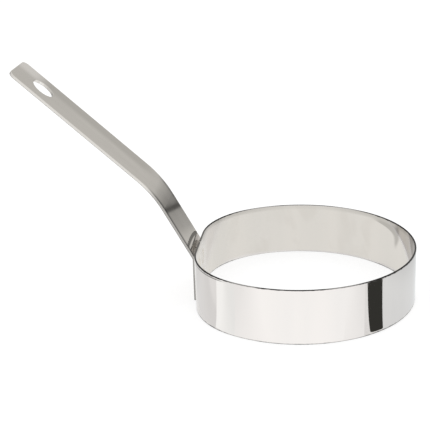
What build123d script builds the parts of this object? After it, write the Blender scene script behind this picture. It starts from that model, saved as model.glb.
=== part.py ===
from build123d import *

import os
from math import atan2, cos, degrees, radians, sin

# An egg ring: a round band of thin stainless sheet that stands on a griddle, with one bent strip of thicker
# sheet as its handle. The strip's upright foot is spot welded to the outside of the band, and from there it
# leans away from the ring twice, up to a flat grip with a hole to hang it by.
# The origin is the middle of the ring on the face that it stands on. +Z is up, the handle points along -X,
# and the ring is the same on both sides of the XZ plane. Lengths are in millimetres, angles in degrees.

# The ring
ring_diameter = 101.6
ring_height = 24.0
band_thickness = 0.8
rim_chamfer = 0.15

# The flat that is pressed into the round band to seat the handle: how far it lies inside the full circle,
# and how far it runs on past each edge of the strip
seat_inset = 6.3
seat_margin = 0.25

# The butt joint of the band, hidden behind the handle's foot
seam_gap = 0.9

# The handle's strip and its bends, measured along the face that touches the band
strip_width = 22.0
strip_thickness = 1.25
strip_edge_radius = 0.25
foot_lift = 0.3
foot_corner_radius = 0.5
lower_bend_height = 20.3
lower_bend_radius = 1.6
leg_slope = 61.0
leg_length = 34.7
upper_bend_radius = 50.0
grip_slope = 41.8
grip_length = 79.1
grip_corner_radius = 3.0

# The hole that the ring hangs by
hanging_hole_diameter = 10.2
hanging_hole_to_end = 14.6
hole_chamfer = 0.15

# The spot welds: four nuggets, widest where the sheets meet and each melted into a share of both, under the
# shallow round marks that the welding electrodes leave on the outer faces
nugget_diameter = 4.0
nugget_root_diameter = 2.8
nugget_depth_share = 0.6
mark_diameter = 4.6
mark_depth = 0.1
weld_spacing_across = 11.0
weld_spacing_up = 9.0

# How far a cutting shape runs on past the face that it cuts
cut_overrun = 1.0

# The flat touches the strip, and two equal arcs bring it round to the circle, tangent to both
ring_radius = ring_diameter / 2
seat_distance = ring_radius - seat_inset
seat_half_width = strip_width / 2 + seat_margin
blend_radius = (ring_radius**2 - seat_distance**2 - seat_half_width**2) / (2 * seat_inset)
blend_angle = degrees(atan2(seat_half_width, seat_distance - blend_radius))

# Where the strip turns, on the face that touches the band
foot_end = (-seat_distance, foot_lift)
lower_corner = (-seat_distance, lower_bend_height)
leg_run = leg_length * cos(radians(leg_slope))
leg_rise = leg_length * sin(radians(leg_slope))
upper_corner = (lower_corner[0] - leg_run, lower_corner[1] + leg_rise)
grip_run = grip_length * cos(radians(grip_slope))
grip_rise = grip_length * sin(radians(grip_slope))
grip_end = (upper_corner[0] - grip_run, upper_corner[1] + grip_rise)

# The grip's upper face, with X along the strip towards its free end
grip_direction = (-cos(radians(grip_slope)), 0, sin(radians(grip_slope)))
grip_normal = (sin(radians(grip_slope)), 0, cos(radians(grip_slope)))
grip_plane = Plane(origin=(grip_end[0], 0, grip_end[1]), x_dir=grip_direction, z_dir=grip_normal)

# The welds stand two by two about the middle of the foot's flat, clear of the seam between them
weld_middle = (foot_lift + lower_bend_height) / 2
weld_across = (-weld_spacing_across / 2, weld_spacing_across / 2)
weld_heights = (weld_middle - weld_spacing_up / 2, weld_middle + weld_spacing_up / 2)
weld_places = [(-seat_distance, y, z) for y in weld_across for z in weld_heights]
inner_marks = [(-seat_distance + band_thickness, y, z) for y in weld_across for z in weld_heights]
outer_marks = [(-seat_distance - strip_thickness, y, z) for y in weld_across for z in weld_heights]

# One weld nugget about its own X axis: it tapers into the strip at -X and into the band at +X
strip_reach = strip_thickness * nugget_depth_share
band_reach = band_thickness * nugget_depth_share
with BuildPart() as nugget:
    with BuildSketch(Plane.XY):
        with BuildLine():
            Polyline(
                (-strip_reach, 0),
                (-strip_reach, nugget_root_diameter / 2),
                (0, nugget_diameter / 2),
                (band_reach, nugget_root_diameter / 2),
                (band_reach, 0),
                close=True,
            )
        make_face()
    revolve(axis=Axis.X)

# The tool that leaves one electrode mark, the same shallow dish to both sides of a face
with BuildPart() as mark_tool:
    with BuildSketch(Plane.XY):
        with BuildLine():
            mark_edge = (0, mark_diameter / 2)
            TangentArc((-mark_depth, 0), mark_edge, tangent=(0, 1))
            TangentArc((mark_depth, 0), mark_edge, tangent=(0, 1))
            Line((-mark_depth, 0), (mark_depth, 0))
        make_face()
    revolve(axis=Axis.X)

# The band: a strip of thin sheet rolled round and pressed flat where the handle sits, its two ends a seam's
# width apart, with the edges of both rims broken
with BuildPart() as ring_band:
    with BuildSketch(Plane.XY):
        with BuildLine():
            seat = Line((-seat_distance, -seat_half_width), (-seat_distance, seat_half_width))
            JernArc(seat @ 1, (0, 1), blend_radius, -blend_angle)
            JernArc(seat @ 0, (0, -1), blend_radius, blend_angle)
            CenterArc((0, 0), ring_radius, blend_angle - 180, 360 - 2 * blend_angle)
        make_face()
        offset(amount=-band_thickness, mode=Mode.SUBTRACT)
        with Locations((-seat_distance + band_thickness / 2, 0)):
            Rectangle(band_thickness + 2 * cut_overrun, seam_gap, mode=Mode.SUBTRACT)
    extrude(amount=ring_height)
    rim_edges = ring_band.edges().filter_by(Plane.XY).filter_by(Axis.X, reverse=True)
    chamfer(rim_edges, length=rim_chamfer)
    with Locations(*weld_places):
        add(nugget.part, mode=Mode.SUBTRACT)
    with Locations(*inner_marks):
        add(mark_tool.part, mode=Mode.SUBTRACT)
ring_band.part.label = "ring_band"

# The seam: the bead that closes the band, ground flush with its faces and rims
with BuildPart() as seam_weld:
    with BuildSketch(Plane.XY):
        with Locations((-seat_distance + band_thickness / 2, 0)):
            Rectangle(band_thickness, seam_gap)
    extrude(amount=ring_height)
    chamfer(seam_weld.edges().filter_by(Axis.Y), length=rim_chamfer)
seam_weld.part.label = "seam_weld"

# The handle: one strip, sheared square at the foot, bent twice the same way, rounded at the corners of the
# grip, pierced to hang, and tumbled so that no edge is left sharp
with BuildPart() as handle:
    with BuildSketch(Plane.XZ):
        with BuildLine():
            outer_radii = (lower_bend_radius + strip_thickness, upper_bend_radius + strip_thickness)
            FilletPolyline(foot_end, lower_corner, upper_corner, grip_end, radius=outer_radii)
            offset(amount=strip_thickness, side=Side.LEFT)
        make_face()
    extrude(amount=strip_width / 2, both=True)
    with BuildSketch(grip_plane):
        with Locations((-hanging_hole_to_end, 0)):
            Circle(hanging_hole_diameter / 2)
    extrude(amount=strip_thickness + cut_overrun, both=True, mode=Mode.SUBTRACT)
    hole_edges = handle.edges().filter_by(GeomType.CIRCLE).filter_by(grip_plane)
    chamfer(hole_edges, length=hole_chamfer)
    grip_corners = handle.edges().filter_by(Axis((0, 0, 0), grip_normal)).group_by(Axis.X)[0]
    fillet(grip_corners, radius=grip_corner_radius)
    foot_corners = handle.edges().filter_by(Axis.X).group_by(Axis.Z)[0]
    fillet(foot_corners, radius=foot_corner_radius)
    long_edges = handle.edges().filter_by(Axis((0, 0, 0), grip_direction))
    fillet(long_edges, radius=strip_edge_radius)
    with Locations(*weld_places):
        add(nugget.part, mode=Mode.SUBTRACT)
    with Locations(*outer_marks):
        add(mark_tool.part, mode=Mode.SUBTRACT)
handle.part.label = "handle"

# The spot welds that join the handle's foot to the band
with BuildPart() as spot_welds:
    with Locations(*weld_places):
        add(nugget.part)
spot_welds.part.label = "spot_welds"

os.makedirs("parts", exist_ok=True)
export_step(ring_band.part, "parts/ring_band.step")
export_step(seam_weld.part, "parts/seam_weld.step")
export_step(handle.part, "parts/handle.step")
export_step(spot_welds.part, "parts/spot_welds.step")
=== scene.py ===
from math import atan2, cos, pi, radians, sin

import bpy
from mathutils import Matrix, Vector


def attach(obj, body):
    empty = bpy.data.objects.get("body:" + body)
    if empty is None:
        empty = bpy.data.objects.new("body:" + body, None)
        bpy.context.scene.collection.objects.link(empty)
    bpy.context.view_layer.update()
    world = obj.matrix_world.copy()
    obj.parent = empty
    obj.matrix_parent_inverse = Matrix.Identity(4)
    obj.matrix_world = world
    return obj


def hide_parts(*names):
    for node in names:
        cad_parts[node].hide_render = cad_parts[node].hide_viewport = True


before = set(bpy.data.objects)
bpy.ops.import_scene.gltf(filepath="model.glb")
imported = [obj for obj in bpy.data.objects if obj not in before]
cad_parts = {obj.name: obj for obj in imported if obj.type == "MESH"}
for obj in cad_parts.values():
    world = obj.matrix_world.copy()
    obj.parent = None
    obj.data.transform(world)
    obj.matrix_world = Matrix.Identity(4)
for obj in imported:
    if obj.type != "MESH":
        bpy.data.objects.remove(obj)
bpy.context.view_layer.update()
bpy.ops.object.select_all(action="DESELECT")

# The band: thin stainless sheet, polished on both faces, rolled round and pressed flat behind the handle. Its
# rims are brushed duller, and painted near black as a dark reflection, with a painted lighter reflection in
# stretches. Rolling left the wall slightly wavy along its length, and pressing left it leaning in a little
# over the flat.
mm = 0.001
ring_radius = 50.8 * mm
ring_height = 24.0 * mm
band_thickness = 0.8 * mm
rim_round = 0.38 * mm
rim_steps = 6
seat_distance = 44.5 * mm
seat_half_width = 11.25 * mm
seam_gap = 0.9 * mm
blend_radius = (ring_radius**2 - seat_distance**2 - seat_half_width**2) / (2 * (ring_radius - seat_distance))
blend_angle = atan2(seat_half_width, seat_distance - blend_radius)
weld_spacing_across = 11.0 * mm
weld_spacing_up = 9.0 * mm
weld_middle = 10.3 * mm
mark_radius = 2.3 * mm
mark_depth = 0.1 * mm


def band_profile(name, place_y):
    """Adds the sheet's cut end as one face, with its rims brushed round, and stays in edit mode."""
    bpy.ops.mesh.primitive_plane_add(size=1.0, rotation=(pi / 2, 0.0, 0.0))
    piece = bpy.context.object
    piece.name = name
    bpy.ops.object.transform_apply()
    bpy.ops.object.mode_set(mode="EDIT")
    bpy.ops.transform.resize(value=(band_thickness, 1.0, ring_height))
    bpy.ops.transform.translate(value=(band_thickness / 2 - seat_distance, place_y, ring_height / 2))
    bpy.ops.mesh.bevel(affect="VERTICES", offset=rim_round, segments=rim_steps)
    return piece


def run_on(distance):
    """Extrudes the selected end of the sheet straight on along Y."""
    bpy.ops.mesh.extrude_region_move(TRANSFORM_OT_translate={"value": (0.0, distance, 0.0)})


def roll(angle, centre_x, centre_y, steps):
    """Rolls the selected end of the sheet on round an upright line, clockwise from above."""
    bpy.ops.mesh.spin(steps=steps, angle=angle, center=(centre_x, centre_y, 0.0), axis=(0.0, 0.0, 1.0))


def close_up():
    """Merges what the turns left double, turns every face outwards and leaves edit mode."""
    bpy.ops.mesh.select_all(action="SELECT")
    bpy.ops.mesh.remove_doubles(threshold=0.001 * mm)
    bpy.ops.mesh.normals_make_consistent(inside=False)
    bpy.ops.object.mode_set(mode="OBJECT")


def press_marks(piece, face_x):
    """Presses the four round marks of the welding electrodes into an upright face of the piece."""
    bpy.ops.object.select_all(action="DESELECT")
    for side in (-1, 1):
        for level in (-1, 1):
            place = (face_x, side * weld_spacing_across / 2, weld_middle + level * weld_spacing_up / 2)
            bpy.ops.mesh.primitive_uv_sphere_add(
                segments=40, ring_count=20, radius=mark_radius, location=place
            )
            bpy.ops.transform.resize(value=(mark_depth / mark_radius, 1.0, 1.0))
            bpy.ops.object.transform_apply()
            cutter = bpy.context.object
            press = piece.modifiers.new("press", "BOOLEAN")
            press.solver = "EXACT"
            press.object = cutter
            with bpy.context.temp_override(object=piece, active_object=piece):
                bpy.ops.object.modifier_apply(modifier=press.name)
            bpy.data.objects.remove(cutter)
    piece.select_set(True)
    bpy.context.view_layer.objects.active = piece


def smooth_true(piece):
    """Shades the piece smooth over its rounds, and keeps its broad faces true."""
    bpy.ops.object.shade_smooth_by_angle(angle=radians(40))
    weighted = piece.modifiers.new("true_faces", "WEIGHTED_NORMAL")
    weighted.keep_sharp = True
    bpy.ops.object.modifier_apply(modifier=weighted.name)


band = band_profile("band", seam_gap / 2)
run_on(seat_half_width - seam_gap / 2)
roll(blend_angle, blend_radius - seat_distance, seat_half_width, 40)
roll(2 * pi - 2 * blend_angle, 0.0, 0.0, 180)
roll(blend_angle, blend_radius - seat_distance, -seat_half_width, 40)
run_on(seat_half_width - seam_gap / 2)
close_up()
press_marks(band, band_thickness - seat_distance)
smooth_true(band)


def add_node(tree, kind, feeds=None, **settings):
    """Adds a node with its settings, and gives each of its inputs named a value or links a socket to it."""
    node = tree.nodes.new(kind)
    for name, value in settings.items():
        setattr(node, name, value)
    for name, value in (feeds or {}).items():
        if isinstance(value, bpy.types.NodeSocket):
            tree.links.new(value, node.inputs[name])
        else:
            node.inputs[name].default_value = value
    return node


def maths(tree, operation, first, second=0.0):
    """Works out one sum and returns its output."""
    return add_node(tree, "ShaderNodeMath", {0: first, 1: second}, operation=operation).outputs[0]


def product(tree, *factors):
    """Multiplies values with one another and returns the result."""
    result = factors[0]
    for factor in factors[1:]:
        result = maths(tree, "MULTIPLY", result, factor)
    return result


def vector_maths(tree, operation, first, second=(0.0, 0.0, 0.0), result="Vector"):
    """Works out one sum with vectors and returns the output named."""
    return add_node(tree, "ShaderNodeVectorMath", {0: first, 1: second}, operation=operation).outputs[result]


def fade(tree, value, start, end, low=0.0, high=1.0):
    """Goes smoothly from low to high while a value goes from start to end."""
    feeds = {"Value": value, "From Min": start, "From Max": end, "To Min": low, "To Max": high}
    return add_node(tree, "ShaderNodeMapRange", feeds, interpolation_type="SMOOTHSTEP").outputs["Result"]


def blend_colours(tree, share, first, second):
    """Mixes two colours by a share and returns the colour."""
    feeds = {0: share, 6: first, 7: second}
    feeds = {index: (*value, 1.0) if isinstance(value, tuple) else value for index, value in feeds.items()}
    return add_node(tree, "ShaderNodeMix", feeds, data_type="RGBA").outputs[2]


def raise_surface(tree, height, distance, normal=None):
    """Bumps the surface by a height and returns its normal."""
    feeds = {"Height": height, "Distance": distance}
    if normal:
        feeds["Normal"] = normal
    return add_node(tree, "ShaderNodeBump", feeds).outputs["Normal"]


def new_group(name, given, made):
    """Starts a shader node group with named inputs and outputs."""
    tree = bpy.data.node_groups.new(name, "ShaderNodeTree")
    for title in given:
        kind = "NodeSocketVector" if title == "Place" else "NodeSocketFloat"
        tree.interface.new_socket(title, in_out="INPUT", socket_type=kind)
    for title in made:
        tree.interface.new_socket(title, in_out="OUTPUT", socket_type="NodeSocketFloat")
    return tree, tree.nodes.new("NodeGroupInput").outputs, tree.nodes.new("NodeGroupOutput").inputs


def put_group(tree, group, feeds):
    """Places a group in a material with its own values and returns its outputs."""
    return add_node(tree, "ShaderNodeGroup", feeds, node_tree=group).outputs


# Polishing leaves fine streaks along the belt's run, and a cloudy haze of compound and finger grease
polish, given, made = new_group(
    "polish", ("Place", "Streaks per Metre", "Clouds per Metre"), ("Streaks", "Haze")
)
feeds = {"Vector": given["Place"], "Scale": given["Streaks per Metre"], "Detail": 3.0}
polish.links.new(add_node(polish, "ShaderNodeTexNoise", feeds).outputs["Fac"], made["Streaks"])
feeds = {"Vector": given["Place"], "Scale": given["Clouds per Metre"], "Detail": 4.0}
clouds = add_node(polish, "ShaderNodeTexNoise", feeds).outputs["Fac"]
polish.links.new(fade(polish, clouds, 0.35, 0.7), made["Haze"])

# A brushed edge has lost its polish and is duller, a little unevenly, within a reach of the edge. On the band
# the same mask also places the rims' painted dark reflection.
brushed_edge, given, made = new_group("brushed_edge", ("Place", "Distance", "Reach"), ("Wear",))
feeds = {"Vector": given["Place"], "Scale": 600.0, "Detail": 2.0}
grit = add_node(brushed_edge, "ShaderNodeTexNoise", feeds).outputs["Fac"]
uneven = product(brushed_edge, maths(brushed_edge, "SUBTRACT", grit, 0.5), given["Reach"])
reached = maths(brushed_edge, "ADD", given["Distance"], uneven)
reached = maths(brushed_edge, "DIVIDE", reached, given["Reach"])
brushed_edge.links.new(fade(brushed_edge, reached, 1.0, 0.4), made["Wear"])

# Each spot weld leaves a faint straw-coloured ring of heat round its mark, on both sheets
weld_heat, given, made = new_group("weld_heat", ("Place",), ("Tint",))
split = add_node(weld_heat, "ShaderNodeSeparateXYZ", {"Vector": given["Place"]}).outputs
off_middle = maths(weld_heat, "ABSOLUTE", split["Y"])
off_y = maths(weld_heat, "SUBTRACT", off_middle, weld_spacing_across / 2)
off_level = maths(weld_heat, "ABSOLUTE", maths(weld_heat, "SUBTRACT", split["Z"], weld_middle))
off_z = maths(weld_heat, "SUBTRACT", off_level, weld_spacing_up / 2)
y_squared = maths(weld_heat, "POWER", off_y, 2.0)
z_squared = maths(weld_heat, "POWER", off_z, 2.0)
from_weld = maths(weld_heat, "SQRT", maths(weld_heat, "ADD", y_squared, z_squared))
tint = product(
    weld_heat,
    fade(weld_heat, from_weld, 4.2 * mm, 2.6 * mm),
    fade(weld_heat, from_weld, 1.6 * mm, 2.5 * mm),
    fade(weld_heat, split["X"], -40.0 * mm, -42.0 * mm),
)
weld_heat.links.new(tint, made["Tint"])


def metal(name):
    """Starts a metal material. Returns it, its tree, its shader's inputs and the Object coordinates."""
    material = bpy.data.materials.new(name)
    material.use_nodes = True
    tree = material.node_tree
    shader = tree.nodes["Principled BSDF"].inputs
    shader["Metallic"].default_value = 1.0
    return material, tree, shader, add_node(tree, "ShaderNodeTexCoord").outputs["Object"]


def stretched(tree, place, scale):
    """Object coordinates scaled along each axis, so that a pattern runs along one of them."""
    return add_node(tree, "ShaderNodeMapping", {"Vector": place, "Scale": scale}).outputs["Vector"]


polished_colour = (0.69, 0.665, 0.645)
hazy_colour = (0.665, 0.645, 0.628)
smudged_colour = (0.61, 0.583, 0.56)
shaded_colour = (0.5, 0.485, 0.465)
# The next four are painted: a dark reflection on the inner face, dark reflection lines, and the rims' dark
# and lighter reflections
hooked_reflection_colour = (0.38, 0.365, 0.35)
dark_reflection_colour = (0.2, 0.195, 0.185)
dark_rim_reflection_colour = (0.02, 0.019, 0.018)
light_rim_reflection_colour = (0.3, 0.29, 0.28)
heat_colour = (0.60, 0.49, 0.33)
room_colour = (1.0, 0.985, 0.955)
black = (0.0, 0.0, 0.0)

polished_sheet, tree, shader, place = metal("polished_sheet")
split = add_node(tree, "ShaderNodeSeparateXYZ", {"Vector": place}).outputs
feeds = {
    "Place": stretched(tree, place, (1.0, 1.0, 0.1)),
    "Streaks per Metre": 700.0,
    "Clouds per Metre": 60.0,
}
marks = put_group(tree, polish, feeds)
heat = put_group(tree, weld_heat, {"Place": place})["Tint"]
below_top = maths(tree, "SUBTRACT", ring_height, split["Z"])
along_rim = maths(tree, "ABSOLUTE", split["X"])
outwards = vector_maths(tree, "NORMALIZE", vector_maths(tree, "MULTIPLY", place, (1.0, 1.0, 0.0)))
normal = add_node(tree, "ShaderNodeTexCoord").outputs["Normal"]
facing = vector_maths(tree, "DOT_PRODUCT", normal, outwards, "Value")
inner_face = fade(tree, facing, -0.3, -0.8)

# The rims are brushed duller, and painted near black as the dark reflection they show. It reaches further at
# the ring's left and right ends, and less on the inner face. A painted lighter reflection lies on them in
# stretches between the ends and the middle, and over the flat.
from_rim = maths(tree, "MINIMUM", split["Z"], below_top)
spared = fade(tree, along_rim, 26.0 * mm, 38.0 * mm, 0.3 * mm, 0.1 * mm)
spared = product(tree, fade(tree, facing, -0.6, -0.95), spared)
from_rim = maths(tree, "ADD", from_rim, spared)
reach = fade(tree, along_rim, 26.0 * mm, 36.0 * mm, 0.45 * mm, 0.7 * mm)
wear = put_group(tree, brushed_edge, {"Place": place, "Distance": from_rim, "Reach": reach})["Wear"]
lit_rim_stretches = fade(tree, along_rim, 11.0 * mm, 17.0 * mm)
lit_rim_stretches = product(tree, lit_rim_stretches, fade(tree, along_rim, 30.0 * mm, 23.0 * mm))
lit_rim_stretches = maths(tree, "MAXIMUM", lit_rim_stretches, fade(tree, split["X"], -43.0 * mm, -44.2 * mm, 0.0, 0.6))
brushed_rim_reflection_colour = blend_colours(tree, lit_rim_stretches, dark_rim_reflection_colour, light_rim_reflection_colour)

# The inner face has faint smudges and a painted shade under its rim. At its right end a painted dark
# reflection climbs from a point and hooks over to the left, ever more steeply, under the rim.
feeds = {"Vector": stretched(tree, place, (1.0, 1.0, 0.8)), "Scale": 75.0, "Detail": 2.5, "Distortion": 0.6}
smudges = fade(tree, add_node(tree, "ShaderNodeTexNoise", feeds).outputs["Fac"], 0.5, 0.7, 0.0, 0.4)
under_rim = product(
    tree,
    fade(tree, below_top, 2.6 * mm, 1.0 * mm),
    inner_face,
    fade(tree, along_rim, 5.0 * mm, 35.0 * mm, 0.25, 0.8),
)
climb = maths(tree, "DIVIDE", maths(tree, "SUBTRACT", split["Z"], 13.0 * mm), mm)
climb = maths(tree, "MAXIMUM", climb, 0.0)
hook = maths(tree, "MULTIPLY", maths(tree, "POWER", climb, 5.0), 0.00023 * mm)
past_left = maths(tree, "ADD", maths(tree, "SUBTRACT", split["X"], 42.2 * mm), hook)
widening = maths(tree, "MULTIPLY", maths(tree, "MINIMUM", climb, 4.0), 0.25 * mm)
past_right = maths(tree, "SUBTRACT", split["X"], widening)
hooked_reflection = product(
    tree,
    fade(tree, past_left, -0.8 * mm, 0.8 * mm),
    fade(tree, past_right, 43.6 * mm, 42.3 * mm),
    fade(tree, split["Z"], 10.8 * mm, 14.8 * mm, 0.0, 0.75),
    fade(tree, below_top, 0.9 * mm, 2.4 * mm, 0.15, 1.0),
    fade(tree, split["X"], 31.5 * mm, 36.0 * mm),
    fade(tree, split["Y"], 0.0, 5.0 * mm),
    inner_face,
)

# A short painted dark reflection line runs just under the top rim at the left front
off_reflection_line = maths(tree, "ADD", below_top, maths(tree, "MULTIPLY", split["X"], 0.03))
rim_reflection_line = product(
    tree,
    fade(tree, maths(tree, "ABSOLUTE", off_reflection_line), 0.32 * mm, 0.12 * mm),
    fade(tree, split["X"], -27.0 * mm, -32.0 * mm),
    fade(tree, split["Y"], -14.0 * mm, -22.0 * mm),
)
sheet_colour = blend_colours(tree, marks["Haze"], polished_colour, hazy_colour)
for share, colour in (
    (product(tree, smudges, inner_face), smudged_colour),
    (under_rim, shaded_colour),
    (hooked_reflection, hooked_reflection_colour),
    (rim_reflection_line, dark_reflection_colour),
    (wear, brushed_rim_reflection_colour),
    (product(tree, heat, 0.35), heat_colour),
):
    sheet_colour = blend_colours(tree, share, sheet_colour, colour)

# The press left the wall by the flat duller and leaning in
pressed = fade(tree, split["X"], -8.0 * mm, -30.0 * mm)
pressed = product(tree, pressed, fade(tree, split["Y"], -14.0 * mm, 0.0))
dull = fade(tree, marks["Haze"], 0.0, 1.0, 0.03, 0.055)
for share, extra in ((wear, 0.16), (pressed, 0.15), (heat, 0.1)):
    dull = maths(tree, "ADD", dull, product(tree, share, extra))
tree.links.new(dull, shader["Roughness"])
feeds = {"Vector": stretched(tree, place, (1.0, 1.0, 0.3)), "Scale": 34.0, "Detail": 1.0}
waves = add_node(tree, "ShaderNodeTexNoise", feeds).outputs["Fac"]
waves = product(tree, waves, fade(tree, split["X"], 36.0 * mm, 47.0 * mm, 1.0, 3.0))
lean = product(tree, pressed, product(tree, split["Z"], 0.1))
leaning = raise_surface(tree, lean, 1.0)
tree.links.new(raise_surface(tree, waves, 0.16 * mm, leaning), shader["Normal"])
shader["Specular Tint"].default_value = (0.92, 0.92, 0.92, 1.0)

# The walls mirror each other on and on. Where one is mirrored by two others in turn it stops mirroring and
# glows with a painted even light in the room's colour, and on its left half already where one other mirrors
# it. The outer face takes a quarter of it. The glow is painted weaker on the right half, higher up, and most
# just under the rim, as shade.
depth = add_node(tree, "ShaderNodeLightPath").outputs["Glossy Depth"]
left_half = fade(tree, split["X"], 4.0 * mm, -12.0 * mm)
deep = product(tree, maths(tree, "GREATER_THAN", depth, 0.5), left_half)
deep = maths(tree, "MAXIMUM", deep, maths(tree, "GREATER_THAN", depth, 1.5))
deep = product(tree, deep, fade(tree, inner_face, 0.0, 1.0, 0.25, 1.0))
tree.links.new(blend_colours(tree, deep, sheet_colour, black), shader["Base Color"])
tree.links.new(maths(tree, "SUBTRACT", 1.0, deep), shader["Metallic"])
painted_glow = product(
    tree,
    fade(tree, left_half, 0.0, 1.0, 0.65, 0.95),
    fade(tree, split["Z"], 13.0 * mm, 20.0 * mm, 1.0, 0.74),
    fade(tree, below_top, 1.9 * mm, 1.3 * mm, 1.0, 0.3),
    deep,
)
tree.links.new(blend_colours(tree, painted_glow, black, room_colour), shader["Emission Color"])
shader["Emission Strength"].default_value = 1.0
shader["Specular IOR Level"].default_value = 0.0
band.data.materials.append(polished_sheet)
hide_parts("ring_band")
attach(band, "root")

# The seam: the bead of fused steel that closes the band behind the handle's foot, ground flush with the wall
# and its rims. It was ground and not polished, so it is duller, with faint ripples up its height.
fused_colour = (0.60, 0.58, 0.55)
hazy_fused_colour = (0.49, 0.47, 0.44)
seam = band_profile("seam", -seam_gap / 2)
run_on(seam_gap)
close_up()
smooth_true(seam)
fused_steel, tree, shader, place = metal("fused_steel")
marks = put_group(tree, polish, {"Place": place, "Streaks per Metre": 2500.0, "Clouds per Metre": 350.0})
seam_colour = blend_colours(tree, marks["Haze"], fused_colour, hazy_fused_colour)
tree.links.new(seam_colour, shader["Base Color"])
tree.links.new(fade(tree, marks["Haze"], 0.0, 1.0, 0.16, 0.3), shader["Roughness"])
feeds = {"Vector": place, "Scale": 260.0, "Distortion": 1.5, "Detail": 1.0}
ripples = add_node(tree, "ShaderNodeTexWave", feeds, bands_direction="Z").outputs["Fac"]
rippled = raise_surface(tree, ripples, 0.012 * mm)
tree.links.new(raise_surface(tree, marks["Streaks"], 0.01 * mm, rippled), shader["Normal"])
seam.data.materials.append(fused_steel)
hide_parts("seam_weld")
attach(seam, "root")

# The handle: a sheared strip of thicker stainless, bent twice and tumbled. Its faces are satin, very slightly
# crowned across the width, and duller underneath, with painted shade there. Its long edges are rounded, some
# with a painted dark reflection line by them.
strip_half_width = 11.0 * mm
crown_slope = 0.028
satin_colour = (0.675, 0.652, 0.615)
hazy_satin_colour = (0.635, 0.612, 0.578)
# The next five are painted: shade on the far half, a highlight at the far end, a dark reflection on the near
# arris, and shade underneath and on the lower arris
far_half_shade_colour = (0.535, 0.515, 0.48)
far_end_highlight_colour = (0.84, 0.815, 0.785)
near_arris_reflection_colour = (0.1, 0.097, 0.092)
underside_shade_colour = (0.44, 0.428, 0.405)
lower_arris_shade_colour = (0.05, 0.049, 0.046)

satin_strip, tree, shader, place = metal("satin_strip")
split = add_node(tree, "ShaderNodeSeparateXYZ", {"Vector": place}).outputs
feeds = {
    "Place": stretched(tree, place, (0.25, 1.0, 0.25)),
    "Streaks per Metre": 1300.0,
    "Clouds per Metre": 110.0,
}
marks = put_group(tree, polish, feeds)
heat = put_group(tree, weld_heat, {"Place": place})["Tint"]
from_edge = maths(tree, "SUBTRACT", strip_half_width, maths(tree, "ABSOLUTE", split["Y"]))
wear = put_group(tree, brushed_edge, {"Place": place, "Distance": from_edge, "Reach": 0.35 * mm})["Wear"]

# Painted shade darkens the far half of the grip, and a painted highlight lights its end
far_half = fade(tree, split["Y"], 0.0, 6.0 * mm)
far_half = product(tree, far_half, fade(tree, split["Z"], 50.0 * mm, 58.0 * mm))
far_end = fade(tree, split["X"], -108.0 * mm, -115.0 * mm)
far_colour = blend_colours(tree, far_end, far_half_shade_colour, far_end_highlight_colour)

# Painted dark reflection lines run along the leg's near edge and its arris, and along the upper bend's far
# edge
near_leg = fade(tree, split["Z"], 54.0 * mm, 46.0 * mm)
near_leg = product(tree, near_leg, fade(tree, split["Y"], 0.0, -1.0 * mm))
near_line = product(tree, near_leg, fade(tree, from_edge, 2.1 * mm, 1.0 * mm, 0.0, 0.65))
near_arris = product(
    tree,
    fade(tree, from_edge, 0.01 * mm, 0.05 * mm),
    fade(tree, from_edge, 0.9 * mm, 0.25 * mm, 0.0, 0.95),
    near_leg,
)
far_line = product(
    tree,
    fade(tree, split["Z"], 38.0 * mm, 42.0 * mm),
    fade(tree, split["Z"], 53.0 * mm, 48.0 * mm),
    fade(tree, split["Y"], 0.0, 1.0 * mm),
    fade(tree, from_edge, 3.5 * mm, 1.3 * mm, 0.0, 0.65),
)

# The underside of the leg and grip is duller and painted darker as shade, and painted shade darkens its near
# arris
normal = add_node(tree, "ShaderNodeTexCoord").outputs["Normal"]
downwards = vector_maths(tree, "DOT_PRODUCT", normal, (-0.85, 0.0, -0.5), "Value")
underside = fade(tree, downwards, 0.35, 0.75)
underside = product(tree, underside, fade(tree, split["Z"], 18.0 * mm, 34.0 * mm))
sideways = add_node(tree, "ShaderNodeSeparateXYZ", {"Vector": normal}).outputs["Y"]
lower_arris = product(tree, fade(tree, sideways, -0.15, -0.35), fade(tree, downwards, 0.15, 0.35))

strip_colour = blend_colours(tree, marks["Haze"], satin_colour, hazy_satin_colour)
for share, colour in (
    (far_half, far_colour),
    (near_line, dark_reflection_colour),
    (near_arris, near_arris_reflection_colour),
    (far_line, dark_reflection_colour),
    (underside, underside_shade_colour),
    (lower_arris, lower_arris_shade_colour),
    (heat, heat_colour),
):
    strip_colour = blend_colours(tree, share, strip_colour, colour)
tree.links.new(strip_colour, shader["Base Color"])
dull = fade(tree, marks["Haze"], 0.0, 1.0, 0.04, 0.07)
for share in (wear, underside):
    dull = maths(tree, "ADD", dull, product(tree, share, 0.12))
tree.links.new(dull, shader["Roughness"])
across = maths(tree, "DIVIDE", split["Y"], strip_half_width)
crown = product(tree, maths(tree, "POWER", across, 2.0), -crown_slope * strip_half_width / 2)
crowned = raise_surface(tree, crown, 1.0)
tree.links.new(raise_surface(tree, marks["Streaks"], 0.0025 * mm, crowned), shader["Normal"])
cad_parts["handle"].data.materials[0] = satin_strip

# The spot welds: four nuggets where strip and band were fused together under the electrodes. They lie between
# the two sheets, of the same fused steel as the seam.
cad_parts["spot_welds"].data.materials[0] = fused_steel

# The table: a white paper sweep that clips to white where nothing shades it, also in what the steel mirrors.
# Cards that only the polished steel sees lie and stand round the ring, as in a photographer's set.
paper_tone = 0.4
paper_glow = 0.69

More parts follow.
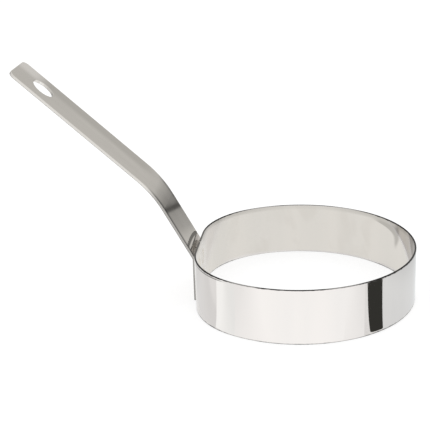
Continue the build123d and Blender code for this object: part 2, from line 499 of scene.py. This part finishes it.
white_paper = bpy.data.materials.new("white_paper")
white_paper.use_nodes = True
tree = white_paper.node_tree
tree.nodes.clear()
path = add_node(tree, "ShaderNodeLightPath").outputs
seen = maths(tree, "MAXIMUM", path["Is Camera Ray"], path["Is Glossy Ray"])
seen = maths(tree, "MAXIMUM", seen, path["Is Transmission Ray"])
glow = add_node(tree, "ShaderNodeEmission", {"Strength": maths(tree, "MULTIPLY", seen, paper_glow)})
paper = add_node(tree, "ShaderNodeBsdfDiffuse", {"Color": (paper_tone, paper_tone, paper_tone, 1.0)})
both = add_node(tree, "ShaderNodeAddShader", {0: paper.outputs["BSDF"], 1: glow.outputs["Emission"]})
add_node(tree, "ShaderNodeOutputMaterial", {"Surface": both.outputs["Shader"]})

bpy.ops.mesh.primitive_plane_add(size=6.0, location=(0.0, 0.0, -0.02 * mm))
table = bpy.context.object
table.name = "white_table"
bpy.ops.object.transform_apply()
table.data.materials.append(white_paper)


def card(name, corners, stops, along=(1.0, 0.0, 0.0), colour=(1.0, 1.0, 1.0), rounding=0.0):
    """Stands a card that only mirrors see. Each stop is a place in mm along it and how it glows there."""
    bpy.ops.mesh.primitive_circle_add(vertices=len(corners), fill_type="NGON")
    plane = bpy.context.object
    plane.name = name
    for vertex, corner in zip(plane.data.vertices, corners):
        vertex.co = Vector(corner) * mm
    if rounding:
        bpy.ops.object.mode_set(mode="EDIT")
        bpy.ops.mesh.bevel(affect="VERTICES", offset=rounding * mm, segments=6)
        bpy.ops.object.mode_set(mode="OBJECT")
    material = bpy.data.materials.new(name)
    material.use_nodes = True
    tree = material.node_tree
    tree.nodes.clear()
    peak = max(level for spot, level in stops)
    first, last = stops[0][0], stops[-1][0]
    place = add_node(tree, "ShaderNodeTexCoord").outputs["Object"]
    run = vector_maths(tree, "DOT_PRODUCT", place, along, "Value")
    span = {"Value": run, "From Min": first * mm, "From Max": last * mm}
    share = add_node(tree, "ShaderNodeMapRange", span).outputs["Result"]
    ramp = add_node(tree, "ShaderNodeValToRGB", {"Fac": share})
    points = ramp.color_ramp.elements
    for index, (spot, level) in enumerate(stops):
        share = (spot - first) / (last - first)
        point = points[0] if index == 0 else points.new(share) if index < len(stops) - 1 else points[-1]
        point.position = share
        point.color = (*(channel * level / peak for channel in colour), 1.0)
    glow = add_node(tree, "ShaderNodeEmission", {"Color": ramp.outputs["Color"], "Strength": peak})
    add_node(tree, "ShaderNodeOutputMaterial", {"Surface": glow.outputs["Emission"]})
    plane.data.materials.append(material)
    plane.visible_camera = False
    plane.visible_diffuse = False
    plane.visible_shadow = False


def along_foot(first, last, reach):
    """Corners on the table that follow the ring's foot from one direction to another."""
    angles = [radians(first + (last - first) * step / 8) for step in range(9)]
    radius = ring_radius / mm + reach
    return [(radius * cos(angle), radius * sin(angle), 0.2) for angle in angles]


# In front of the ring lies the light panel, brightest at its right, with a brighter strip of foil at its left
card(
    "light_panel",
    [*along_foot(-124, -55, 0.5), (102, -70, 0.2), (90, -170, 0.2), (-100, -170, 0.2), (-115, -75, 0.2)],
    ((-80, 1.16), (-4, 1.16), (4, 1.18), (14, 1.24), (28, 1.33), (110, 1.31)),
    along=(0.746, -0.666, 0.0),
)
card(
    "panel_edge",
    [*along_foot(-66, -55, 0.5), (102, -70, 0.25), (88, -100, 0.25)],
    ((-42, 1.31), (-34, 1.3), (-25, 1.23), (-17, 1.16), (0, 1.16)),
    along=(0.505, 0.863, 0.0),
)
card(
    "foil_strip",
    [*along_foot(-131.7, -119, 0.7), (-115, -95, 0.25), (-118, -39.5, 0.25)],
    ((-55, 1.165), (-40, 1.165), (-35, 1.22), (-30, 1.31), (0, 1.31)),
    along=(-0.25, 0.968, 0.0),
    colour=(0.985, 1.0, 1.0),
    rounding=1.0,
)

# Plainer papers lie at the left and right of the panel, the right one cooler and darker at its far edge, and
# a warm one lies inside the ring
card(
    "left_paper",
    [*along_foot(-172, -131.7, 0.5), (-118, -39.5, 0.2), (-120, 20, 0.2), (-80, 45, 0.2)],
    ((-70, 1.05), (-62, 1.04), (-57, 0.955), (-51, 0.955), (-45, 1.0), (-37, 1.0), (-25, 0.93), (0, 0.9)),
    along=(0.48, 0.877, 0.0),
)
card(
    "right_paper",
    [*along_foot(-44, 20, 0.5), (70, 60, 0.2), (110, 40, 0.2), (110, -34, 0.2)],
    ((30, 1.0), (52, 1.02), (62, 1.0), (71, 0.96), (80, 0.9), (100, 0.8)),
    along=(0.85, 0.53, 0.0),
    colour=(0.97, 0.99, 1.0),
)
turns = [radians(angle) for angle in range(0, 360, 10)]
inside_paper = [Vector((48.5 * cos(turn), 48.5 * sin(turn), 0.2)) for turn in turns]
inside_paper = [Vector((max(corner.x, -42.5), corner.y, corner.z)) for corner in inside_paper]
card("inside_paper", inside_paper, ((-50, 1.03), (20, 1.03), (50, 1.0)), colour=(1.0, 0.995, 0.955))

# The black flag lies to the right of the panel and points away from the ring
card(
    "black_flag",
    [(33.0, -40.36, 0.3), (37.76, -35.23, 0.3), (98.26, -34.98, 0.3), (88.05, -60.46, 0.3)],
    ((0, 0.045), (100, 0.045)),
    colour=(1.0, 1.0, 0.9),
    rounding=1.2,
)

# The backdrop stands behind the ring, where the strip's upper face mirrors it. Under a dark slanting gap lies
# the table's far end, and above it the grey cloth grows lighter upwards.
far_table = ((-40, 0.75), (-22, 0.665), (-17, 0.57), (-12.5, 0.475), (-7.5, 0.45), (-2.5, 0.425), (2, 0.39))
cloth_foot = ((3.5, 0.12), (6, 0.11), (8, 0.24), (10.5, 0.3), (14, 0.31), (22, 0.37), (34, 0.45), (46, 0.51))
card(
    "grey_backdrop",
    [(-260, 260, -60), (140, 260, -60), (140, 260, 330), (-260, 260, 330)],
    (*far_table, *cloth_foot, (55, 0.58), (65, 0.65), (84, 0.67), (140, 0.69), (200, 0.67)),
    along=(-0.5, 0.0, 1.0),
    colour=room_colour,
)
world = bpy.data.worlds.new("white_world")
bpy.context.scene.world = world
world.use_nodes = True
world.node_tree.nodes["Background"].inputs["Color"].default_value = (1.0, 1.0, 1.0, 1.0)
world.node_tree.nodes["Background"].inputs["Strength"].default_value = 1.0

# The camera stands where the photograph was taken from, a little right of the ring's front and 20 degrees up
camera_place = (0.02769, -0.46019, 0.20669)
camera_heading = radians(7.975)
camera_pitch = radians(20.096)
camera_roll = radians(-1.944)
frame_pixels = 430.0
focal_pixels = 1126.7

bpy.ops.object.camera_add(location=camera_place)
camera = bpy.context.object
camera.name = "photo_camera"
turn = Matrix.Rotation(camera_heading, 3, "Z") @ Matrix.Rotation(pi / 2 - camera_pitch, 3, "X")
camera.rotation_euler = (turn @ Matrix.Rotation(camera_roll, 3, "Z")).to_euler()
camera.data.sensor_width = 36.0
camera.data.lens = camera.data.sensor_width * focal_pixels / frame_pixels
camera.data.clip_start = 0.01
bpy.context.scene.camera = camera
bpy.context.scene.view_settings.view_transform = "Standard"

# Polished walls mirror each other many times over, so their light is followed further than usual
bpy.context.scene.cycles.max_bounces = 24
bpy.context.scene.cycles.glossy_bounces = 20
